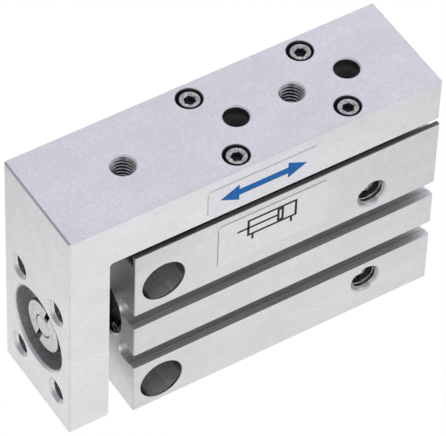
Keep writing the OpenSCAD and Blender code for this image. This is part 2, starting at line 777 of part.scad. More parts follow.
// Rear cap: plain disc with an O-ring groove and a shallow turned dish in its outer face
module rear_end_cap() {
    groove = (rear_cap_t - cord_groove_w) / 2;
    groove_r = cord_r - cord_d / 2 - 0.05;
    color("#b9bcc4") turned([
        [0, 0], [0, cap_d / 2 - 0.2], [0.2, cap_d / 2], [groove, cap_d / 2], [groove, groove_r],
        [groove + cord_groove_w, groove_r], [groove + cord_groove_w, cap_d / 2],
        [rear_cap_t, cap_d / 2], [rear_cap_t, 3], [rear_cap_t - 0.5, 2.5], [rear_cap_t - 0.5, 0]],
        rear_cap_x);
}

module rear_o_ring() {
    o_ring(rear_cap_x + rear_cap_t / 2);
}

module rear_retaining_ring() {
    color("#3a3a3c") retaining_ring(rear_ring_x, 90);
}

// Steel balls pressed into the rear ends of the air passages
module passage_plugs() {
    color("whitesmoke") for (z = [passage_z_low, passage_z_high])
        translate([body_x1 - plug_seat + plug_d / 2, passage_y, z]) sphere(d = plug_d - 2 * fit);
}

// --- Assembly -------------------------------------------------------------------------------------

housing();
guide_rail();
rail_screws();
bearing_cap();
rod_bush();
rod_wiper();
rod_seal();
cap_o_ring();
front_retaining_ring();
front_cushion();
rear_cushion();
rear_end_cap();
rear_o_ring();
rear_retaining_ring();
passage_plugs();
slide_yoke();
carriage();
carriage_screws();
piston_rod();
slotted_nut();
lock_nut();
piston();
piston_disc();
piston_magnet();
piston_guide_ring();
piston_seals();
ball_cage();
guide_balls();
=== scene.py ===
"""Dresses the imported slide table: finishes for its nodes, threads, screws and labels on a white stage."""

import json
import math

import bmesh
import bpy
from mathutils import Matrix, Quaternion, Vector


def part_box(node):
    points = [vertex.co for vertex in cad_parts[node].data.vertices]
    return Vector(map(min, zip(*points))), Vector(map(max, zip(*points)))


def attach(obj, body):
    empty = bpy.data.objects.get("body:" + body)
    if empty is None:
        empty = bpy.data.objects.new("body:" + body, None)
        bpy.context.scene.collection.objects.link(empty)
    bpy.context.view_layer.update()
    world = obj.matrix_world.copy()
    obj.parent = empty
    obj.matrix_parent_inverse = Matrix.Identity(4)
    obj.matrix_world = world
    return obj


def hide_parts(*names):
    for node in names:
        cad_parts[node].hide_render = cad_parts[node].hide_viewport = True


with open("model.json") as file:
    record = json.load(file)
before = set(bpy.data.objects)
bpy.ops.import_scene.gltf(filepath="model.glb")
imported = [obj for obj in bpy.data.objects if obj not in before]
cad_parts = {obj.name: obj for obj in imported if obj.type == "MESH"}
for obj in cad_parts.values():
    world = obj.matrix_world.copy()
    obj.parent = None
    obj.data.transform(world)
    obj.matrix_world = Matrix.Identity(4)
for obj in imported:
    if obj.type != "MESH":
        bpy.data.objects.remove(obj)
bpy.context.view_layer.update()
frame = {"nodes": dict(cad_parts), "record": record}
MM = 0.001  # the frame is in metres; shapes are drawn in mm and scaled by this at the end

# --- Stage ------------------------------------------------------------------------------------------
# A long lens looks down on the near front corner from outside a tent of white cloth. The tent is
# brightest at table height, and cooler and dimmer overhead. It is dark in its opening round the lens,
# and behind the part on the left, where a curtain hangs.

LENS_AZIMUTH = math.radians(-33.76)
LENS_ELEVATION = math.radians(48.15)
LENS_ROLL = math.radians(2.43)
LENS_DISTANCE = 633.46 * MM
LENS_TARGET = Vector((0.437, 0.411, 22.889)) * MM
FOCAL_LENGTH = 328.76
SENSOR_WIDTH = 36

WHITE = (1, 1, 1, 1)
TENT_WALL = (1.0, 1.0, 1.0, 1)
TENT_ROOF = (0.81, 0.81, 0.915, 1)
ROOF_HEIGHT = 0.55
CURTAIN_TOWARDS = Vector((-0.80, 0.55, 0.22)).normalized()
CURTAIN_SPREAD = (62, 38)
CURTAIN_LEVEL = 0.48
OPENING_SPREAD = (30, 14)
OPENING_LEVEL = 0.30

TABLE_RADIUS = 2.0
ROUND_SIDES = 64
TABLE_DROP = 0.05 * MM
TABLE_PAPER = (0.92, 0.92, 0.92, 1)
TABLE_FADE_X = (0.02, 0.09)
TABLE_FADE_Y = (0.014, 0.065)
TABLE_NEAR_GLOW = 1.02
TABLE_FAR_GLOW = 0.66
MIRRORED_GLOW = 0.82

LAMP_SIZE = 0.35
LAMPS = (("lamp_front", (-0.25, -0.95, 0.16), 0.9), ("lamp_right", (0.45, -0.95, 0.14), 0.6))


def fill(tree, node, inputs):
    """Gives each of a node's inputs a value or a link."""
    for key, value in inputs.items():
        if isinstance(value, bpy.types.NodeSocket):
            tree.links.new(value, node.inputs[key])
        else:
            node.inputs[key].default_value = value


def put(tree, kind, inputs=None, **settings):
    """Adds a shader node, sets its properties, and fills its inputs."""
    node = tree.nodes.new("ShaderNode" + kind)
    for key, value in settings.items():
        setattr(node, key, value)
    fill(tree, node, inputs or {})
    return node


def maths(tree, operation, first, second=0.0, clamp=False):
    """Output of a Math node."""
    node = put(tree, "Math", {0: first, 1: second}, operation=operation, use_clamp=clamp)
    return node.outputs[0]


def vectors(tree, operation, first, second=(0, 0, 0)):
    """Output of a Vector Math node: a number for a length or a dot product, or else a vector."""
    node = put(tree, "VectorMath", {0: first, 1: second}, operation=operation)
    return node.outputs["Value" if operation in ("LENGTH", "DOT_PRODUCT") else "Vector"]


def axes(tree, vector):
    """X, Y and Z of a vector."""
    return put(tree, "SeparateXYZ", {0: vector}).outputs


def span(tree, value, low, high, to_low=0.0, to_high=1.0, curve="LINEAR"):
    """Value between low and high, spread over to_low and to_high."""
    inputs = {0: value, 1: low, 2: high, 3: to_low, 4: to_high}
    return put(tree, "MapRange", inputs, interpolation_type=curve).outputs[0]


def mix_value(tree, share, first, second):
    """Output of a Mix node for numbers."""
    return put(tree, "Mix", {0: share, 2: first, 3: second}).outputs[0]


def mix_colour(tree, share, first, second, blend="MIX"):
    """Output of a Mix node for colours."""
    node = put(tree, "Mix", {0: share, 6: first, 7: second}, data_type="RGBA", blend_type=blend)
    return node.outputs[2]


back = Vector((
    math.sin(LENS_AZIMUTH) * math.cos(LENS_ELEVATION),
    -math.cos(LENS_AZIMUTH) * math.cos(LENS_ELEVATION),
    math.sin(LENS_ELEVATION),
))
camera = bpy.data.objects.new("camera", bpy.data.cameras.new("camera"))
bpy.context.scene.collection.objects.link(camera)
camera.data.lens = FOCAL_LENGTH
camera.data.sensor_width = SENSOR_WIDTH
camera.data.clip_start = 0.01
camera.data.clip_end = 20
camera.location = LENS_TARGET + back * LENS_DISTANCE
camera.rotation_mode = "QUATERNION"
camera.rotation_quaternion = (-back).to_track_quat("-Z", "Y") @ Quaternion((0, 0, 1), LENS_ROLL)
bpy.context.scene.camera = camera
bpy.context.scene.view_settings.view_transform = "Standard"

world = bpy.data.worlds.new("tent")
bpy.context.scene.world = world
world.use_nodes = True
tree = world.node_tree
tree.nodes.clear()
direction = put(tree, "TexCoord").outputs["Generated"]
roof = span(tree, axes(tree, direction)["Z"], 0.0, ROOF_HEIGHT, curve="SMOOTHSTEP")
tent = mix_colour(tree, roof, TENT_WALL, TENT_ROOF)
for towards, spread, level in (
    (back, OPENING_SPREAD, OPENING_LEVEL), (CURTAIN_TOWARDS, CURTAIN_SPREAD, CURTAIN_LEVEL),
):
    outer, inner = [math.cos(math.radians(angle)) for angle in spread]
    nearness = vectors(tree, "DOT_PRODUCT", direction, towards)
    shade = span(tree, nearness, outer, inner, 1.0, level, "SMOOTHSTEP")
    tent = mix_colour(tree, 1.0, tent, shade, "MULTIPLY")
is_lens = put(tree, "LightPath").outputs["Is Camera Ray"]
sky = put(tree, "Background", {"Color": mix_colour(tree, is_lens, tent, WHITE), "Strength": 1.0})
put(tree, "OutputWorld", {"Surface": sky.outputs[0]})

bm = bmesh.new()
under_part = Matrix.Translation((0, 0, -TABLE_DROP))
bmesh.ops.create_circle(bm, cap_ends=True, segments=ROUND_SIDES, radius=TABLE_RADIUS, matrix=under_part)
table_mesh = bpy.data.meshes.new("table")
bm.to_mesh(table_mesh)
bm.free()
table = bpy.data.objects.new("table", table_mesh)
bpy.context.scene.collection.objects.link(table)
table_paper = bpy.data.materials.new("table_paper")
table_paper.use_nodes = True
tree = table_paper.node_tree
tree.nodes.clear()
path = put(tree, "LightPath")
is_lens = path.outputs["Is Camera Ray"]
mirrored = maths(tree, "ADD", path.outputs["Is Glossy Ray"], path.outputs["Is Transmission Ray"])
x, y, _ = axes(tree, put(tree, "TexCoord").outputs["Object"])
fading = maths(
    tree, "MULTIPLY",
    span(tree, x, *TABLE_FADE_X, TABLE_NEAR_GLOW, TABLE_FAR_GLOW),
    span(tree, y, *TABLE_FADE_Y, 1.0, TABLE_FAR_GLOW),
)
paper = put(tree, "BsdfDiffuse", {"Color": TABLE_PAPER})
glow = put(tree, "Emission", {"Color": WHITE, "Strength": mix_value(tree, is_lens, fading, 1.0)})
glow_share = maths(tree, "ADD", is_lens, maths(tree, "MULTIPLY", mirrored, MIRRORED_GLOW), clamp=True)
surface = put(tree, "MixShader", {0: glow_share, 1: paper.outputs[0], 2: glow.outputs[0]})
put(tree, "OutputMaterial", {"Surface": surface.outputs[0]})
table_mesh.materials.append(table_paper)

for name, place, power in LAMPS:
    lamp = bpy.data.objects.new(name, bpy.data.lights.new(name, "AREA"))
    lamp.data.size = LAMP_SIZE
    lamp.data.energy = power
    lamp.location = place
    lamp.rotation_mode = "QUATERNION"
    lamp.rotation_quaternion = (LENS_TARGET - Vector(place)).to_track_quat("-Z", "Y")
    bpy.context.scene.collection.objects.link(lamp)

# --- Housing ----------------------------------------------------------------------------------------
# A drawn aluminium bar, milled on its outer faces and clear anodised. The slots, the guide channel
# and the bores keep a duller, less metallic skin than the outer faces, its colour darkened as painted
# shade.

ALUMINIUM_TONES = ((0.855, 0.85, 0.858), (0.768, 0.762, 0.76), (0.62, 0.615, 0.63))
NOISE_RANGE = (0.3, 0.7)  # where most of a noise lies
SQUARE_ON = 0.8
SLANTED_BELOW = 0.9
CLOUD_SIZE = (9, 4, 4)
LINE_SHARE = 0.46
SPECK_SIZE = (0.28, 0.28, 0.28)
SPECK_SHARE = 0.50
SPECK_HEIGHT = 0.6
SCRATCH_SIZE = (0.12, 5, 5)
SCRATCH_TURN = (0.3, 0.2, 0.5)
SCRATCH_TONE = (0.95, 0.95, 0.95, 1)
SCRATCH_SHARE = 0.35
SCRATCH_HEIGHT = -0.5
MILLED_ROUGHNESS = (0.36, 0.50)
RELIEF = 0.35
RELIEF_DEPTH = 0.016
# Bare bevels and cones are mixed towards this grey as painted shade.
BEVEL_SHADE = (0.3, 0.3, 0.3, 1)
BEVEL_SMOOTHER = 0.10
# The skin's darker colours, and the black they are darkened towards, are painted shade.
DULL_SHADED_ALUMINIUM = (0.67, 0.655, 0.645, 1)
DULL_SHADED_LINES = (0.43, 0.42, 0.415, 1)
SHADE_BLACK = (0, 0, 0, 1)
SKIN = 0.32 * MM
SKIN_OXIDE = 0.35
SKIN_ROUGHER = 0.06
SKIN_LINE_HEIGHT = 5.0
FROST_OXIDE = 0.85


def new_finish(name):
    """Material with its tree, its shader and the place on the piece in metres."""
    material = bpy.data.materials.new(name)
    material.use_nodes = True
    tree = material.node_tree
    place = put(tree, "TexCoord").outputs["Object"]
    return material, tree, tree.nodes["Principled BSDF"], place


def grain(tree, place, size, detail=3.0, turn=(0, 0, 0)):
    """Noise whose cells have the given size in mm along X, Y and Z."""
    scale = [1 / (length * MM) for length in size]
    mapping = put(tree, "Mapping", {"Vector": place, "Rotation": turn, "Scale": scale})
    noise = {"Vector": mapping.outputs[0], "Scale": 1.0, "Detail": detail, "Roughness": 0.6}
    return put(tree, "TexNoise", noise).outputs["Fac"]


def emboss(tree, shader, height, strength, depth):
    """Raises the surface by a pattern. The depth is in mm."""
    bump = put(tree, "Bump", {"Strength": strength, "Distance": depth * MM, "Height": height})
    fill(tree, shader, {"Normal": bump.outputs[0]})


def inside_mask(tree, place, low, high, depth):
    """1 where a point lies deeper than depth below every outer face of the box from low to high."""
    apart = vectors(tree, "ABSOLUTE", vectors(tree, "SUBTRACT", place, (low + high) / 2))
    x, y, z = axes(tree, vectors(tree, "SUBTRACT", (high - low) / 2, apart))
    nearest = maths(tree, "MINIMUM", maths(tree, "MINIMUM", x, y), z)
    return maths(tree, "GREATER_THAN", nearest, depth)


def facing(tree):
    """How far the surface faces along X, Y and Z, from 0 to 1."""
    return axes(tree, vectors(tree, "ABSOLUTE", put(tree, "TexCoord").outputs["Normal"]))


def milled_pattern(tree, place, along_top, along_side, along_front):
    """Fine tool marks, which run along another direction on each face."""
    x, _, z = facing(tree)
    top = maths(tree, "GREATER_THAN", z, SQUARE_ON)
    front = maths(tree, "GREATER_THAN", x, SQUARE_ON)
    marks = mix_colour(tree, front, grain(tree, place, along_side), grain(tree, place, along_front))
    return mix_colour(tree, top, marks, grain(tree, place, along_top))


def slanted_faces(tree):
    """1 on bevels and cones, whose normals lie along no axis."""
    x, y, z = facing(tree)
    most = maths(tree, "MAXIMUM", maths(tree, "MAXIMUM", x, y), z)
    return maths(tree, "LESS_THAN", most, SLANTED_BELOW)


def finish_aluminium(name, level, bevel_shade, tool_marks, inside, shade, skin_marks, mouths=None):
    """Milled and anodised aluminium: tool marks, specks, clouds, scratches, dull skin, frosted mouths,
    painted shade.
    """
    material, tree, shader, place = new_finish(name)
    lines = milled_pattern(tree, place, *tool_marks)
    clouds = grain(tree, place, CLOUD_SIZE, 5.0)
    specks = grain(tree, place, SPECK_SIZE, 4.0)
    scratches = span(tree, grain(tree, place, SCRATCH_SIZE, 1.0, SCRATCH_TURN), 0.72, 0.78)
    light, warm, deep = [[level * part for part in tone] + [1] for tone in ALUMINIUM_TONES]
    colour = mix_colour(tree, span(tree, clouds, 0.32, 0.68), light, warm)
    colour = mix_colour(tree, span(tree, lines, *NOISE_RANGE, 0.0, LINE_SHARE), colour, deep)
    colour = mix_colour(tree, span(tree, specks, 0.38, 0.66, 0.0, SPECK_SHARE), colour, deep)
    colour = mix_colour(tree, maths(tree, "MULTIPLY", scratches, SCRATCH_SHARE), colour, SCRATCH_TONE)

    skin = inside(tree, place)
    skin_lines = grain(tree, place, skin_marks, 2.0)
    # Painted shade: the skin's colour, darkened further towards black by the share the shade function
    # gives.
    dull = mix_colour(tree, span(tree, skin_lines, 0.35, 0.65), DULL_SHADED_ALUMINIUM, DULL_SHADED_LINES)
    darker, oxide = shade(tree, place)
    dull = mix_colour(tree, darker, dull, SHADE_BLACK)
    oxide = maths(tree, "MULTIPLY", skin, oxide)

    bare = maths(tree, "SUBTRACT", 1.0, skin)
    if mouths:
        frosted = maths(tree, "MULTIPLY", mouths(tree, place), bare)
        bare = maths(tree, "SUBTRACT", bare, frosted)
        oxide = maths(tree, "MAXIMUM", oxide, maths(tree, "MULTIPLY", frosted, FROST_OXIDE))
    # Painted shade: the bare bevels and cones are mixed towards grey.
    bright_cut = maths(tree, "MULTIPLY", slanted_faces(tree), bare)
    colour = mix_colour(tree, maths(tree, "MULTIPLY", bright_cut, bevel_shade), colour, BEVEL_SHADE)

    roughness = span(tree, lines, *NOISE_RANGE, *MILLED_ROUGHNESS)
    roughness = maths(tree, "ADD", roughness, maths(tree, "MULTIPLY", skin, SKIN_ROUGHER))
    roughness = maths(tree, "SUBTRACT", roughness, maths(tree, "MULTIPLY", bright_cut, BEVEL_SMOOTHER))
    fill(tree, shader, {
        "Base Color": mix_colour(tree, skin, colour, dull),
        "Roughness": roughness,
        "Metallic": maths(tree, "SUBTRACT", 1.0, oxide),
    })
    height = maths(tree, "ADD", lines, maths(tree, "MULTIPLY", scratches, SCRATCH_HEIGHT))
    height = maths(tree, "ADD", height, maths(tree, "MULTIPLY", specks, SPECK_HEIGHT))
    drawn = maths(tree, "MULTIPLY", maths(tree, "MULTIPLY", skin_lines, skin), SKIN_LINE_HEIGHT)
    emboss(tree, shader, maths(tree, "ADD", height, drawn), RELIEF, RELIEF_DEPTH)
    return material


def dress(node, material):
    """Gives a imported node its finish."""
    frame["nodes"][node].material_slots[0].material = material


housing_low, housing_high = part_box("housing")
mounts = {mount["name"]: mount for mount in frame["record"]["mounts"]}
ports = {name: mount for name, mount in mounts.items() if mount["kind"] == "threaded_hole"}
PORT_D = 2 * ports["port_upper"]["dims"]["r_mm"]
# Painted shade on the ports' walls.
PORT_SHADE = 0.7
ON_FACE = 0.05 * MM
# The lips' tops, under the yoke's top plate, join the skin as painted shade.
LIP_TOP = housing_high.z - 0.12 * MM
# Painted light: the skin fades towards the open rear end, where light falls in.
LIT_END_REACH = 3.4 * MM
LIT_END_SKIN = 0.25
# The port side is darker towards the front.
DARKER_FRONT_X = (-24 * MM, -6 * MM)
DARKER_FRONT_SHARE = 0.14
CHANNEL_FROM = (32.5 * MM, 33.0 * MM)  # just under the channel's floor
# Painted shade in the slots and, more, in the guide channel.
SLOT_SHADE = 0.12
CHANNEL_SHADE = 0.72

counterbores = mounts["body_through_holes"]
COUNTERBORE_REACH = 3.9 * MM
COUNTERBORE_FADE_Y = -5 * MM
COUNTERBORE_OXIDE = 0.85
# Painted shade in rays, and a painted highlight on the far wall, stronger deeper in.
RAYS_SCALE = 3.5
RAYS_SHADE = (1.06, 0.76)
LIT_TOWARDS = (0.40, 0.0, -0.92)
LIT_SPREAD = (0.45, 0.98)
LIT_AT_MOUTH = 0.78
LIT_SHARE = 0.95


def housing_inside(tree, place):
    """Skin and painted shade: slots, bores, channel, lips' tops; painted light at the rear end; port side
    darker in front.
    """
    x, y, z = axes(tree, place)
    # Painted light towards the open rear end, and painted shade on the lips' tops below.
    lit_end = span(tree, x, housing_high.x - LIT_END_REACH, housing_high.x, 1.0, LIT_END_SKIN)
    skin = maths(tree, "MULTIPLY", inside_mask(tree, place, housing_low, housing_high, SKIN), lit_end)
    skin = maths(tree, "ADD", skin, maths(tree, "GREATER_THAN", z, LIP_TOP), clamp=True)
    # Darker towards the front on the port side.
    on_port_side = maths(tree, "LESS_THAN", y, housing_low.y + ON_FACE)
    darker_front = maths(tree, "MULTIPLY", span(tree, x, *DARKER_FRONT_X, DARKER_FRONT_SHARE, 0.0), on_port_side)
    return maths(tree, "MAXIMUM", skin, darker_front)


def across(tree, x, z, axis_x, axis_z):
    """Offset of a point from an axis that runs along Y, flat in XZ."""
    return put(tree, "CombineXYZ", {
        0: maths(tree, "SUBTRACT", x, axis_x), 1: 0.0, 2: maths(tree, "SUBTRACT", z, axis_z),
    }).outputs[0]


def counterbore_shade(tree, x, y, z):
    """Painted shade of the counterbores, in rays, with a painted highlight where light falls in, and 1
    where they are.
    """
    bore_x, _, middle_z = counterbores["pos_m"]
    half = counterbores["dims"]["spacing_y_mm"] / 2 * MM
    bore_z = span(tree, maths(tree, "GREATER_THAN", z, middle_z), 0, 1, middle_z - half, middle_z + half)
    offset = across(tree, x, z, bore_x, bore_z)
    around = vectors(tree, "NORMALIZE", offset)
    lit = span(tree, vectors(tree, "DOT_PRODUCT", around, LIT_TOWARDS), *LIT_SPREAD)
    lit = maths(tree, "MULTIPLY", lit, span(tree, y, housing_low.y, COUNTERBORE_FADE_Y, LIT_AT_MOUTH, 1.0))
    rays = put(tree, "TexNoise", {"Vector": around, "Scale": RAYS_SCALE, "Detail": 3.0}).outputs["Fac"]
    rays = span(tree, rays, 0.35, 0.65, *RAYS_SHADE)
    shade = maths(tree, "SUBTRACT", rays, maths(tree, "MULTIPLY", lit, LIT_SHARE))
    here = maths(tree, "LESS_THAN", vectors(tree, "LENGTH", offset), COUNTERBORE_REACH)
    return maths(tree, "MAXIMUM", shade, 0.0), here


def housing_shade(tree, place):
    """Painted shade on the skin: the share by which it darkens, most in the guide channel, and the skin's
    share of oxide.
    """
    x, y, z = axes(tree, place)
    shade = span(tree, z, *CHANNEL_FROM, SLOT_SHADE, CHANNEL_SHADE)
    for port in ports.values():
        reach = vectors(tree, "LENGTH", across(tree, x, z, port["pos_m"][0], port["pos_m"][2]))
        in_port = maths(tree, "LESS_THAN", reach, PORT_D / 2 * MM + SKIN)
        shade = maths(tree, "MAXIMUM", shade, maths(tree, "MULTIPLY", in_port, PORT_SHADE))
    bore, in_bore = counterbore_shade(tree, x, y, z)
    oxide = span(tree, in_bore, 0, 1, SKIN_OXIDE, COUNTERBORE_OXIDE)
    return mix_value(tree, in_bore, shade, bore), oxide


dress("housing", finish_aluminium(
    "housing_aluminium", level=0.985, bevel_shade=0.35,
    tool_marks=((0.25, 1.2, 1.2), (1.6, 1.6, 0.28), (1.2, 1.2, 0.3)),
    inside=housing_inside, shade=housing_shade, skin_marks=(12, 0.18, 0.18),
))

# --- Air ports --------------------------------------------------------------------------------------
# Two M5 holes tapped into the housing's side by its rear end, for the two ends of the cylinder. A ridge
# winds down each of them to the cone that the drill left round the narrow feed. The ridges take the
# darker thread finish, painted shade, and the cones a dark finish with painted glints.

PORT_PITCH = 0.8
PORT_DEPTH = 2.6
PORT_MOUTH_D = 5.5
PORT_FEED_D = 1.2
CONE_GAP = 0.06
CONE_SLOPE = math.radians(31)
THREAD_STEPS = 48
FLANK_POINTS = 5
HALF_CREST = 1 / 8  # these three are shares of the pitch
HALF_FOOT = 7 / 16
THREAD_HEIGHT = 0.541
THREAD_SUNK = 0.01
START_TURNS = 0.7
SPARE_TURNS = 0.6
UNDER_FACE = 0.02
OFF_BEVEL = 0.004
SMOOTH_ANGLE = math.radians(35)


def finish_thread(name, level, roughness=0.16, least=0.72, size=0.2):
    """Freshly cut metal: smooth, and slightly torn; its level paints light and shade, a low least paints
    glints.
    """
    material, tree, shader, place = new_finish(name)
    torn = grain(tree, place, (size, size, size), 2.0)
    light, dark = [(level * part, level * part, level * part, 1) for part in (1.0, least)]
    fill(tree, shader, {
        "Base Color": mix_colour(tree, span(tree, torn, 0.35, 0.6), light, dark),
        "Roughness": span(tree, torn, *NOISE_RANGE, roughness, 2 * roughness),
        "Metallic": 1.0,
    })
    return material


def make_piece(name, bm, material, body):
    """Turns a finished bmesh into a piece that rides on a body."""
    bmesh.ops.remove_doubles(bm, verts=bm.verts, dist=1e-7)
    bmesh.ops.recalc_face_normals(bm, faces=bm.faces)
    mesh = bpy.data.meshes.new(name)
    bm.to_mesh(mesh)
    bm.free()
    mesh.materials.append(material)
    mesh.shade_smooth()
    mesh.set_sharp_from_angle(angle=SMOOTH_ANGLE)
    piece = bpy.data.objects.new(name, mesh)
    bpy.context.scene.collection.objects.link(piece)
    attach(piece, body)
    return piece


def facing_out(place, outward, turn=0.0):
    """Brings a shape in mm, drawn round Z, to a place in metres with its Z pointing outwards."""
    upright = Vector(outward).to_track_quat("Z", "Y").to_matrix().to_4x4()
    return Matrix.Translation(place) @ upright @ Matrix.Rotation(turn, 4, "Z") @ Matrix.Scale(MM, 4)


def thread_ridge(name, mouth, outward, thread, finish, body, turn=0.0):
    """Ridge of an inside thread: a trapezoid wound up the hole, cut back by the bevel at its mouth."""
    d, pitch, depth, mouth_d = thread
    outer = d / 2 + THREAD_SUNK
    inner = d / 2 - THREAD_HEIGHT * pitch
    crest, foot = HALF_CREST * pitch, HALF_FOOT * pitch
    corners = [(outer, -foot), (inner, -crest), (inner, crest), (outer, foot)]
    profile = []
    for (r0, z0), (r1, z1) in zip(corners, corners[1:]):
        for n in range(FLANK_POINTS):
            profile.append((r0 + (r1 - r0) * n / FLANK_POINTS, z0 + (z1 - z0) * n / FLANK_POINTS))
    profile.append(corners[-1])
    start = -depth + START_TURNS * pitch
    steps = round((depth - SPARE_TURNS * pitch) / pitch * THREAD_STEPS)
    bm = bmesh.new()
    face = bm.faces.new([bm.verts.new((r, 0, z + start)) for r, z in profile])
    bmesh.ops.spin(
        bm, geom=[face, *face.edges, *face.verts], cent=(0, 0, 0), axis=(0, 0, 1),
        dvec=(0, 0, pitch / THREAD_STEPS), angle=math.tau * steps / THREAD_STEPS, steps=steps)
    for v in bm.verts:
        z = min(v.co.z, -UNDER_FACE)
        r = math.hypot(v.co.x, v.co.y)
        cut_back = max(r, mouth_d / 2 + z + OFF_BEVEL)
        v.co = (v.co.x * cut_back / r, v.co.y * cut_back / r, z)
    bmesh.ops.transform(bm, matrix=facing_out(mouth, outward, turn), verts=bm.verts)
    make_piece(name, bm, finish, body)


# Copies of one thread finish: the lighter is painted light, the darker painted shade.
bright_thread = finish_thread("bright_thread", 0.84)
dark_thread = finish_thread("dark_thread", 0.42)
# The cone's high-contrast patches are painted glints and dark reflections.
drilled_cone = finish_thread("drilled_cone", 0.72, roughness=0.14, least=0.04, size=0.7)

for name, port in ports.items():
    x, _, z = port["pos_m"]
    thread = (PORT_D, PORT_PITCH, PORT_DEPTH, PORT_MOUTH_D)
    thread_ridge(name + "_thread", (x, housing_low.y, z), (0, -1, 0), thread, dark_thread,
                 "housing")
    point = (PORT_D / 2 - CONE_GAP - PORT_FEED_D / 2) * math.tan(CONE_SLOPE)
    bm = bmesh.new()
    bmesh.ops.create_cone(bm, cap_ends=False, segments=ROUND_SIDES, radius1=PORT_FEED_D / 2,
                          radius2=PORT_D / 2 - CONE_GAP, depth=point)
    bmesh.ops.solidify(bm, geom=bm.faces[:], thickness=CONE_GAP / 4)
    middle = (x, housing_low.y + (PORT_DEPTH + point / 2 - CONE_GAP / 2) * MM, z)
    bmesh.ops.transform(bm, matrix=facing_out(middle, (0, -1, 0)), verts=bm.verts)
    make_piece(name + "_cone", bm, drilled_cone, "housing")

# --- Type label -------------------------------------------------------------------------------------
# A silver film with rounded corners, stuck on the port side. It is printed in black with a plain line
# drawing of a double-acting cylinder, and dark lines run along two of its edges.

FILM = 0.05
PRINT = 0.012
TYPE_LABEL_X = (-7.05, 12.95)
TYPE_LABEL_Z = (25.4, 34.6)
TYPE_LABEL_CORNER = 0.8
CORNER_SEGMENTS = 8
SYMBOL_FROM_LABEL = (5.2, -4.8)
SYMBOL_W = 9
SYMBOL_H = 3.6
SYMBOL_LINE = 0.42
PISTON_X = (5.4, 6.6)
ROD_FROM_X = -1.8
ROD_Y = (1.6, 2.0)
PORT_LINES_X = (1.0, 8.0)
PORT_LINE_LENGTH = 1.0
PORT_LINE_WIDTH = 0.4
EDGE_OUT = 0.03
LEFT_EDGE_IN = 0.07
TOP_EDGE_IN = 0.05
EDGE_CLEAR = 0.6
EDGE_FOOT_CLEAR = 0.5


def thicken(bm, faces, thickness):
    """Extrudes flat faces upwards."""
    grown = bmesh.ops.extrude_face_region(bm, geom=list(faces))["geom"]
    top = [part for part in grown if isinstance(part, bmesh.types.BMVert)]
    bmesh.ops.translate(bm, vec=(0, 0, thickness), verts=top)


def plate(bm, x_range, y_range, thickness, corner=0.0):
    """Adds a thin rectangle in mm, with rounded corners if asked."""
    middle = Vector((sum(x_range) / 2, sum(y_range) / 2, 0))
    size = Matrix.Diagonal((x_range[1] - x_range[0], y_range[1] - y_range[0], 1, 1))
    verts = bmesh.ops.create_grid(
        bm, x_segments=1, y_segments=1, size=0.5, matrix=Matrix.Translation(middle) @ size)["verts"]
    if corner:
        verts = bmesh.ops.bevel(
            bm, geom=verts, offset=corner, affect="VERTICES", segments=CORNER_SEGMENTS,
            profile=0.5, material=-1)["verts"]
    thicken(bm, {f for v in verts for f in v.link_faces}, thickness)


def box_outline(bm, x0, x1, y0, y1, line):
    """Adds the outline of a rectangle as four thin bars."""
    plate(bm, (x0, x1), (y0, y0 + line), PRINT)
    plate(bm, (x0, x1), (y1 - line, y1), PRINT)
    plate(bm, (x0, x0 + line), (y0 + line, y1 - line), PRINT)
    plate(bm, (x1 - line, x1), (y0 + line, y1 - line), PRINT)


def stick_on_side(name, bm, lift, finish, body, at=(0, 0)):
    """Makes a piece of a flat shape in mm, stood on the port side: X along the travel, and Y up."""
    origin = (at[0] * MM, housing_low.y - lift * MM, at[1] * MM)
    upright = Matrix.Translation(origin) @ Matrix.Rotation(math.radians(90), 4, "X")
    bmesh.ops.transform(bm, matrix=upright @ Matrix.Scale(MM, 4), verts=bm.verts)
    make_piece(name, bm, finish, body)


def label_edges(name, x_range, z_range, dirt, body):
    """Dark lines along the film's left and upper edges."""
    (left, right), (foot, top) = x_range, z_range
    bm = bmesh.new()
    plate(bm, (left - EDGE_OUT, left + LEFT_EDGE_IN), (foot + EDGE_FOOT_CLEAR, top - EDGE_CLEAR), PRINT)
    plate(bm, (left + EDGE_CLEAR, right - EDGE_CLEAR), (top - TOP_EDGE_IN, top + EDGE_OUT), PRINT)
    stick_on_side(name, bm, FILM, dirt, body)


def finish_film(name, colour, other, roughness, metallic=0.0, specular=0.5):
    """Printed film: faint mottle and a slightly uneven gloss."""
    material, tree, shader, place = new_finish(name)
    mottle = span(tree, grain(tree, place, (0.8, 0.8, 0.8), 4.0), *NOISE_RANGE)
    fill(tree, shader, {
        "Base Color": mix_colour(tree, mottle, colour, other),
        "Roughness": span(tree, mottle, 0.0, 1.0, roughness, roughness + 0.12),
        "Metallic": metallic,
        "Specular IOR Level": specular,
    })
    return material


silver_film = finish_film("silver_film", (0.80, 0.80, 0.79, 1), (0.73, 0.735, 0.73, 1), 0.42, metallic=0.75)
cut_edge = finish_film("cut_edge", (0.18, 0.18, 0.18, 1), (0.50, 0.50, 0.50, 1), 0.5)
black_print = finish_film(
    "black_print", (0.015, 0.015, 0.018, 1), (0.03, 0.03, 0.032, 1), 0.45, specular=0.15)

bm = bmesh.new()
plate(bm, TYPE_LABEL_X, TYPE_LABEL_Z, FILM, TYPE_LABEL_CORNER)
stick_on_side("type_label", bm, 0.0, silver_film, "housing")
label_edges("type_label_edges", TYPE_LABEL_X, TYPE_LABEL_Z, cut_edge, "housing")

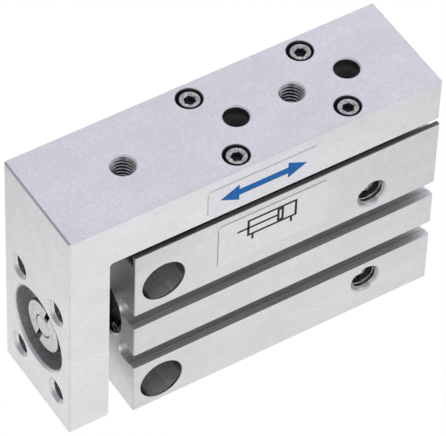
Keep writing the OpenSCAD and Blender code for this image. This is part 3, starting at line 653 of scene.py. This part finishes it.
x = TYPE_LABEL_X[0] + SYMBOL_FROM_LABEL[0]
y = TYPE_LABEL_Z[1] + SYMBOL_FROM_LABEL[1]
bm = bmesh.new()
box_outline(bm, x, x + SYMBOL_W, y, y + SYMBOL_H, SYMBOL_LINE)
box_outline(bm, x + PISTON_X[0], x + PISTON_X[1], y + SYMBOL_LINE, y + SYMBOL_H - SYMBOL_LINE, SYMBOL_LINE)
plate(bm, (x + ROD_FROM_X, x + PISTON_X[0]), (y + ROD_Y[0], y + ROD_Y[1]), PRINT)
for port_x in PORT_LINES_X:
    left = x + port_x - PORT_LINE_WIDTH / 2
    plate(bm, (left, left + PORT_LINE_WIDTH), (y - PORT_LINE_LENGTH, y), PRINT)
stick_on_side("type_label_print", bm, FILM, black_print, "housing")

# --- Yoke -------------------------------------------------------------------------------------------
# An L milled from one aluminium block. Its top is ground across the width, its sides are milled along
# the travel, and the bevelled mouths of the holes in its top are frosted.

yoke_low, yoke_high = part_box("slide_yoke")
screws_low, screws_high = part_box("carriage_screws")
PLATE_UNDERSIDE = yoke_high.z - 8.3 * MM
FRONT_PLATE_BACK = yoke_low.x + 7.0 * MM
RECESS_FLOOR = yoke_low.x + 3.5 * MM
ON_RECESS_FLOOR = 0.03 * MM
# Painted shade on the skin: in the front plate, and on the walls of the holes in the top, set by height.
FRONT_PLATE_SHADE = 0.22
HOLE_SHADE_DEPTH = (2.2 * MM, 1.2 * MM)
HOLE_SHADE = (0.2, 0.86)
HEAD_D = 3.8
WELL_MOUTH_R = 2.22 * MM
MOUTHS_FROM_EDGE = Vector((1, 1, 0)) * MM
UNDER_TOP = Vector((0, 0, 0.015)) * MM


def screw_wells(tree, place):
    """1 in the four wells of the carriage screws, up to their mouths, which take painted shade."""
    half = (screws_high - screws_low) / 2 - Vector((HEAD_D / 2, HEAD_D / 2, 0)) * MM
    apart = vectors(tree, "ABSOLUTE", vectors(tree, "SUBTRACT", place, (screws_low + screws_high) / 2))
    flat = vectors(tree, "MULTIPLY", vectors(tree, "SUBTRACT", apart, half), (1, 1, 0))
    near = maths(tree, "LESS_THAN", vectors(tree, "LENGTH", flat), WELL_MOUTH_R)
    above = maths(tree, "GREATER_THAN", axes(tree, place)["Z"], PLATE_UNDERSIDE + MM)
    return maths(tree, "MULTIPLY", near, above)


def yoke_inside(tree, place):
    """Skin and painted shade: walls of the holes, the screws' wells and the front plate's back, not the
    recess's floor.
    """
    x, _, z = axes(tree, place)
    in_top_plate = maths(tree, "GREATER_THAN", z, PLATE_UNDERSIDE + ON_FACE)
    in_front_plate = maths(tree, "LESS_THAN", x, FRONT_PLATE_BACK + ON_FACE)
    in_plates = maths(tree, "ADD", in_top_plate, in_front_plate, clamp=True)
    from_floor = maths(tree, "ABSOLUTE", maths(tree, "SUBTRACT", x, RECESS_FLOOR))
    off_floor = maths(tree, "GREATER_THAN", from_floor, ON_RECESS_FLOOR)
    deep = maths(tree, "MULTIPLY", inside_mask(tree, place, yoke_low, yoke_high, SKIN), in_plates)
    deep = maths(tree, "MULTIPLY", deep, off_floor)
    return maths(tree, "MAXIMUM", deep, screw_wells(tree, place))


def top_mouths(tree, place):
    """Bevelled mouths of the top's holes: in a thin layer under the top face, clear of its outer edges."""
    layer_low = Vector((yoke_low.x, yoke_low.y, yoke_high.z - SKIN)) + MOUTHS_FROM_EDGE
    return inside_mask(tree, place, layer_low, yoke_high - MOUTHS_FROM_EDGE - UNDER_TOP, 0.0)


def yoke_shade(tree, place):
    """Painted shade on the skin: the share by which it darkens, most in the holes from the top, and its
    share of oxide.
    """
    x, _, z = axes(tree, place)
    bottom, top = [yoke_high.z - depth for depth in HOLE_SHADE_DEPTH]
    behind_front_plate = maths(tree, "GREATER_THAN", x, FRONT_PLATE_BACK + 0.5 * MM)
    hole = span(tree, z, bottom, top, *HOLE_SHADE)
    return mix_value(tree, behind_front_plate, FRONT_PLATE_SHADE, hole), SKIN_OXIDE


dress("slide_yoke", finish_aluminium(
    "yoke_aluminium", level=1.07, bevel_shade=0.17,
    tool_marks=((0.28, 0.9, 0.9), (1.6, 1.6, 0.25), (0.9, 0.9, 0.3)),
    inside=yoke_inside, shade=yoke_shade, skin_marks=(0.6, 0.6, 0.2), mouths=top_mouths,
))

# --- Tapped holes -----------------------------------------------------------------------------------
# M4 threads cut in the yoke: two in a row through the top plate, and four round the recess in the front
# plate. Those in the front take the lighter thread finish, painted light; those in the top the darker one,
# painted shade.

TOP_THREAD = (4.0, 0.7, 6.0, 4.5)  # diameter, pitch, depth and the mouth's diameter
FRONT_THREAD = (4.0, 0.7, 5.0, 4.7)
TOP_THREAD_TURN = math.radians(200)

x, y, z = mounts["slide_top_threads"]["pos_m"]
half = mounts["slide_top_threads"]["dims"]["spacing_x_mm"] / 2 * MM
for number, side in enumerate((-1, 1), 1):
    thread_ridge(f"top_thread_{number}", (x + side * half, y, z), (0, 0, 1), TOP_THREAD, dark_thread,
                 "slide", TOP_THREAD_TURN)
x, y, z = mounts["slide_front_threads"]["pos_m"]
dims = mounts["slide_front_threads"]["dims"]
half_y, half_z = dims["spacing_x_mm"] / 2 * MM, dims["spacing_y_mm"] / 2 * MM
for row in (-1, 1):
    for column in (-1, 1):
        thread_ridge(f"front_thread_{row + 2}_{column + 2}", (x, y + column * half_y, z + row * half_z),
                     (-1, 0, 0), FRONT_THREAD, bright_thread, "slide")

# --- Motion label -----------------------------------------------------------------------------------
# A white film stuck on the yoke's side, printed in blue with a plain double arrow along the travel. Its
# edge lines are fainter than those of the type label.

MOTION_LABEL_X = (-9.15, 10.65)
MOTION_LABEL_Z = (38.2, 43.6)
MOTION_LABEL_CORNER = 0.4
ARROW_LENGTH = 15.5
ARROW_HEAD = 3.4
ARROW_WIDTH = 3.4
ARROW_SHAFT = 1.3

white_film = finish_film("white_film", (0.84, 0.84, 0.83, 1), (0.78, 0.78, 0.775, 1), 0.4)
faint_edge = finish_film("faint_edge", (0.42, 0.42, 0.44, 1), (0.70, 0.70, 0.72, 1), 0.5)
blue_print = finish_film("blue_print", (0.004, 0.105, 0.36, 1), (0.007, 0.15, 0.43, 1), 0.5, specular=0.2)

bm = bmesh.new()
plate(bm, MOTION_LABEL_X, MOTION_LABEL_Z, FILM, MOTION_LABEL_CORNER)
stick_on_side("motion_label", bm, 0.0, white_film, "slide")
label_edges("motion_label_edges", MOTION_LABEL_X, MOTION_LABEL_Z, faint_edge, "slide")

tip, neck = ARROW_LENGTH / 2, ARROW_LENGTH / 2 - ARROW_HEAD
barb, shaft = ARROW_WIDTH / 2, ARROW_SHAFT / 2
arrow = [(-tip, 0), (-neck, -barb), (-neck, -shaft), (neck, -shaft), (neck, -barb),
         (tip, 0), (neck, barb), (neck, shaft), (-neck, shaft), (-neck, barb)]
bm = bmesh.new()
thicken(bm, [bm.faces.new([bm.verts.new((x, y, 0)) for x, y in arrow])], PRINT)
stick_on_side("motion_label_print", bm, FILM, blue_print, "slide",
              at=(sum(MOTION_LABEL_X) / 2, sum(MOTION_LABEL_Z) / 2))

# --- Carriage screws --------------------------------------------------------------------------------
# Four M2 socket screws of bright steel, sunk in wells in the top plate. Each has a knurled head, a
# bevelled rim, and a hexagon whose mouth is slightly conical; the hexagon, the bevel and the knurled side
# are painted black as shade. Three values are chosen: the hexagon and the bevel are wider than the
# source's 1.5 and 0.22, and the screws stand 0.1 off the wells' centres.

HEAD_H = 2.0
HEAD_BEVEL = 0.27
BEVEL_ROUND = 0.03
HEAD_FOOT = 0.2
HEX_AF = 1.74
HEX_FLOOR = 0.9
HEX_MOUTH_D = 2.3
HEX_MOUTH_DEPTH = 0.16
HEX_TURN = math.radians(37)
OPEN_FACE_FROM = 0.53 * HEX_AF
HEAD_SHIFT = Vector((0.083, -0.056, 0)) * MM
SHANK_D = 2.0
SHANK_POINT = 0.2
KNURL = 0.05
RIDGES = 30
SCREW_SIDES = RIDGES * 4
SCREW_TONE = (0.74, 0.735, 0.72, 1)
SCREW_LINES = (0.36, 0.355, 0.345, 1)
SCREW_STAINS = (0.26, 0.255, 0.25, 1)


def finish_screw_steel(name):
    """Bright steel, handled: fine marks and darker stains."""
    material, tree, shader, place = new_finish(name)
    brushed = grain(tree, place, (0.3, 0.3, 0.3), 4.0)
    stains = grain(tree, place, (1.2, 1.2, 1.2), 2.0)
    stained = span(tree, stains, 0.45, 0.7, 0.0, 0.5)
    steel = mix_colour(tree, span(tree, brushed, 0.35, 0.6), SCREW_TONE, SCREW_LINES)
    fill(tree, shader, {
        "Base Color": mix_colour(tree, stained, steel, SCREW_STAINS),
        "Roughness": span(tree, brushed, *NOISE_RANGE, 0.22, 0.40),
        "Metallic": 1.0,
    })
    emboss(tree, shader, brushed, 0.4, 0.01)
    return material


def finish_shaded_steel(name):
    """Steel painted black as shade, for the screws' hexagons, bevels and knurled sides."""
    material, tree, shader, place = new_finish(name)
    soot = grain(tree, place, (0.2, 0.2, 0.2), 3.0)
    fill(tree, shader, {
        "Base Color": mix_colour(tree, soot, (0.005, 0.005, 0.005, 1), (0.04, 0.04, 0.04, 1)),
        "Roughness": span(tree, soot, *NOISE_RANGE, 0.45, 0.65),
    })
    return material


def round_at(radius):
    """Ring of one radius."""
    return lambda angle: radius


def hexagon_at(across_flats, turn):
    """Hexagon, as the radius at each angle."""
    def radius(angle):
        within = (angle - turn) % (math.pi / 3) - math.pi / 6
        return across_flats / 2 / math.cos(within)
    return radius


def knurled_at(radius):
    """Ring with straight knurling."""
    return lambda angle: radius - KNURL * (0.5 + 0.5 * math.cos(RIDGES * angle))


def ringed(rings, sides):
    """Shell from rings of (radius at an angle, height), closed at both ends."""
    bm = bmesh.new()
    verts = bmesh.ops.create_circle(bm, cap_ends=True, segments=sides, radius=1.0)["verts"]
    for number, (radius_at, height) in enumerate(rings):
        if number:
            edges = {e for v in verts for e in v.link_edges if e.is_boundary or number == 1}
            edges = [e for e in edges if all(v in verts for v in e.verts)]
            grown = bmesh.ops.extrude_edge_only(bm, edges=edges)["geom"]
            verts = [g for g in grown if isinstance(g, bmesh.types.BMVert)]
        for v in verts:
            angle = math.atan2(v.co.y, v.co.x)
            radius = radius_at(angle)
            v.co = (radius * math.cos(angle), radius * math.sin(angle), height)
    bmesh.ops.contextual_create(bm, geom=verts)
    return bm


def screw_shell(turn, shank_length):
    """Screw in mm, its head's foot at height 0, from the hexagon's floor round the head to the tip."""
    hexagon = hexagon_at(HEX_AF, turn)
    rim = HEAD_H - HEAD_BEVEL
    return ringed([
        (hexagon, HEX_FLOOR),
        (hexagon, HEAD_H - HEX_MOUTH_DEPTH),
        (round_at(HEX_MOUTH_D / 2), HEAD_H),
        (round_at(HEAD_D / 2 - HEAD_BEVEL), HEAD_H),
        (round_at(HEAD_D / 2 - KNURL), rim + BEVEL_ROUND),
        (knurled_at(HEAD_D / 2), rim - BEVEL_ROUND),
        (knurled_at(HEAD_D / 2), HEAD_FOOT),
        (round_at(HEAD_D / 2 - HEAD_FOOT / 2), 0.0),
        (round_at(SHANK_D / 2), 0.0),
        (round_at(SHANK_D / 2), -shank_length + SHANK_POINT),
        (round_at(SHANK_D / 2 - SHANK_POINT), -shank_length),
    ], SCREW_SIDES)


screw_steel = finish_screw_steel("screw_steel")
oiled_steel = finish_shaded_steel("oiled_steel")
dress("carriage_screws", screw_steel)
dress("rail_screws", screw_steel)

inset = HEAD_D / 2 * MM
head_foot_z = screws_high.z - HEAD_H * MM
shank_length = (screws_high.z - screws_low.z) / MM - HEAD_H
screw_places = [(x, y) for x in (screws_low.x + inset, screws_high.x - inset)
                for y in (screws_low.y + inset, screws_high.y - inset)]
for number, (x, y) in enumerate(screw_places, 1):
    bm = screw_shell(HEX_TURN * number, shank_length)
    foot = Vector((x, y, head_foot_z)) + HEAD_SHIFT
    bmesh.ops.transform(bm, matrix=Matrix.Translation(foot) @ Matrix.Scale(MM, 4), verts=bm.verts)
    # Off the open top face and above the foot, faces take the black steel, as painted shade.
    for f in bm.faces:
        middle = f.calc_center_median()
        reach = (middle - foot).xy.length
        open_face = OPEN_FACE_FROM * MM < reach < (HEAD_D / 2 - HEAD_BEVEL) * MM
        f.material_index = int(not open_face and middle.z > head_foot_z)
    screw = make_piece(f"carriage_screw_{number}", bm, screw_steel, "slide")
    screw.data.materials.append(oiled_steel)
    if number == 1:
        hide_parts("carriage_screws")

# --- Guide ------------------------------------------------------------------------------------------
# A ground steel rail in the housing's channel and a hardened saddle on it. Steel balls in a thin
# brass cage run between them, and pressed balls of the same steel plug the air passages.


def finish_steel(name, colour, other, roughness, size):
    """Ground steel: fine marks of the given size in mm, and an uneven gloss."""
    material, tree, shader, place = new_finish(name)
    marks = grain(tree, place, size)
    clouds = grain(tree, place, (4, 4, 4), 2.0)
    steel = mix_colour(tree, span(tree, marks, *NOISE_RANGE), colour, other)
    fill(tree, shader, {
        "Base Color": mix_colour(tree, span(tree, clouds, 0.4, 0.7, 0.0, 0.25), steel, other),
        "Roughness": span(tree, marks, *NOISE_RANGE, roughness, roughness + 0.14),
        "Metallic": 1.0,
    })
    emboss(tree, shader, marks, 0.3, 0.01)
    return material


dress("guide_rail", finish_steel(
    "rail_steel", (0.58, 0.58, 0.59, 1), (0.46, 0.46, 0.47, 1), 0.24, (5, 0.15, 0.15)))
# The saddle's steel is set darker than the rail's as painted shade for the dark gap under the top plate.
dress("carriage", finish_steel(
    "carriage_steel", (0.42, 0.42, 0.44, 1), (0.30, 0.30, 0.32, 1), 0.30, (4, 0.2, 0.2)))
ball_steel = finish_steel(
    "ball_steel", (0.78, 0.78, 0.79, 1), (0.68, 0.68, 0.69, 1), 0.08, (0.4, 0.4, 0.4))
dress("guide_balls", ball_steel)
dress("passage_plugs", ball_steel)
dress("ball_cage", finish_steel(
    "cage_brass", (0.72, 0.52, 0.24, 1), (0.60, 0.41, 0.17, 1), 0.28, (3, 0.2, 0.2)))

# --- Rod and nuts -----------------------------------------------------------------------------------
# The rod's ground end stands flush in a round slotted nut in the front plate. The nut is zinc plated
# and scuffed by the screwdriver; a thin hexagon nut locks it behind the plate.

AXIS_HEIGHT = mounts["slide_front_threads"]["pos_m"][2]
# Painted shade, nearly black, on a turned part behind a given X.
BEHIND_SHADE = (0.01, 0.01, 0.01, 1)
BEHIND_SHADE_SHARE = 0.88


def turned_marks(tree, place, ring_size):
    """Rings round the cylinder's axis, as a lathe leaves them."""
    _, y, z = axes(tree, place)
    flat = put(tree, "CombineXYZ", {0: 0.0, 1: y, 2: maths(tree, "SUBTRACT", z, AXIS_HEIGHT)}).outputs[0]
    turns = maths(tree, "DIVIDE", vectors(tree, "LENGTH", flat), ring_size * MM)
    rings = put(tree, "TexNoise", {"W": turns, "Scale": 1.0, "Detail": 2.0}, noise_dimensions="1D")
    return rings.outputs["Fac"]


def finish_turned(name, colour, other, roughness, metallic=1.0, ring_size=0.12, mottle=0.0, dark_from=None):
    """Turned part on the cylinder's axis: lathe rings, a mottled coat, and painted shade from an X
    backwards.
    """
    material, tree, shader, place = new_finish(name)
    rings = span(tree, turned_marks(tree, place, ring_size), *NOISE_RANGE)
    patches = span(tree, grain(tree, place, (0.5, 0.5, 0.5), 5.0), 0.35, 0.65)
    worn = maths(tree, "ADD", maths(tree, "MULTIPLY", rings, 1 - mottle),
                 maths(tree, "MULTIPLY", patches, mottle), clamp=True)
    coat = mix_colour(tree, worn, colour, other)
    if dark_from is not None:
        behind = maths(tree, "GREATER_THAN", axes(tree, place)["X"], dark_from)
        coat = mix_colour(tree, maths(tree, "MULTIPLY", behind, BEHIND_SHADE_SHARE), coat, BEHIND_SHADE)
    fill(tree, shader, {
        "Base Color": coat,
        "Roughness": span(tree, worn, 0.0, 1.0, roughness, roughness + 0.15),
        "Metallic": metallic,
    })
    emboss(tree, shader, worn, 0.3, 0.01)
    return material


nut_low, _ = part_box("slotted_nut")
# Behind its front face the nut is painted dark as shade: in its slot and on its side in the recess.
dress("slotted_nut", finish_turned(
    "nut_zinc", (0.82, 0.82, 0.80, 1), (0.52, 0.52, 0.50, 1), 0.34,
    metallic=0.8, ring_size=0.2, mottle=0.8, dark_from=nut_low.x + ON_FACE))
dress("lock_nut", finish_turned(
    "lock_nut_steel", (0.70, 0.69, 0.66, 1), (0.52, 0.51, 0.49, 1), 0.28))
dress("piston_rod", finish_turned(
    "rod_steel", (0.76, 0.75, 0.74, 1), (0.46, 0.455, 0.45, 1), 0.16, ring_size=0.15, mottle=0.6))

# --- Ends of the cylinder ---------------------------------------------------------------------------
# A black bearing cap with bush, wiper and seal closes the front, and a turned plug closes the rear.
# Spring rings with two eyes hold both, and rubber O-rings seal them. Soft pads stop the piston.


def finish_rubber(name, colour, other, roughness):
    """Moulded rubber: matt, with a faint bloom."""
    material, tree, shader, place = new_finish(name)
    bloom = grain(tree, place, (0.6, 0.6, 0.6), 4.0)
    fill(tree, shader, {
        "Base Color": mix_colour(tree, span(tree, bloom, *NOISE_RANGE), colour, other),
        "Roughness": span(tree, bloom, *NOISE_RANGE, roughness, roughness + 0.15),
    })
    emboss(tree, shader, bloom, 0.25, 0.01)
    return material


seal_rubber = finish_rubber("seal_rubber", (0.022, 0.022, 0.024, 1), (0.045, 0.045, 0.045, 1), 0.5)
pad_rubber = finish_rubber("pad_rubber", (0.09, 0.09, 0.075, 1), (0.13, 0.13, 0.11, 1), 0.55)
spring_steel = finish_steel(
    "spring_steel", (0.05, 0.05, 0.055, 1), (0.09, 0.09, 0.095, 1), 0.34, (0.3, 0.3, 0.3))
for node in ("rod_wiper", "rod_seal", "cap_o_ring", "rear_o_ring", "piston_seals"):
    dress(node, seal_rubber)
for node in ("front_cushion", "rear_cushion"):
    dress(node, pad_rubber)
for node in ("front_retaining_ring", "rear_retaining_ring"):
    dress(node, spring_steel)
dress("bearing_cap", finish_turned(
    "black_anodised", (0.030, 0.030, 0.034, 1), (0.06, 0.06, 0.065, 1), 0.32, metallic=0.6))
dress("rod_bush", finish_turned("bronze", (0.60, 0.38, 0.18, 1), (0.48, 0.29, 0.13, 1), 0.35))
dress("rear_end_cap", finish_turned("cap_aluminium", (0.78, 0.78, 0.79, 1), (0.60, 0.60, 0.61, 1), 0.26))

# --- Piston -----------------------------------------------------------------------------------------
# Two turned aluminium halves riveted on the rod hold lip rings, a magnet for the sensors, and a
# plastic guide ring.

piston_aluminium = finish_turned(
    "piston_aluminium", (0.74, 0.74, 0.75, 1), (0.58, 0.58, 0.59, 1), 0.28)
dress("piston", piston_aluminium)
dress("piston_disc", piston_aluminium)
dress("piston_magnet", finish_turned(
    "magnet", (0.12, 0.12, 0.125, 1), (0.20, 0.20, 0.20, 1), 0.45, metallic=0.8, ring_size=0.3, mottle=0.7))
dress("piston_guide_ring", finish_turned(
    "guide_plastic", (0.78, 0.75, 0.66, 1), (0.70, 0.67, 0.58, 1), 0.45, metallic=0.0))
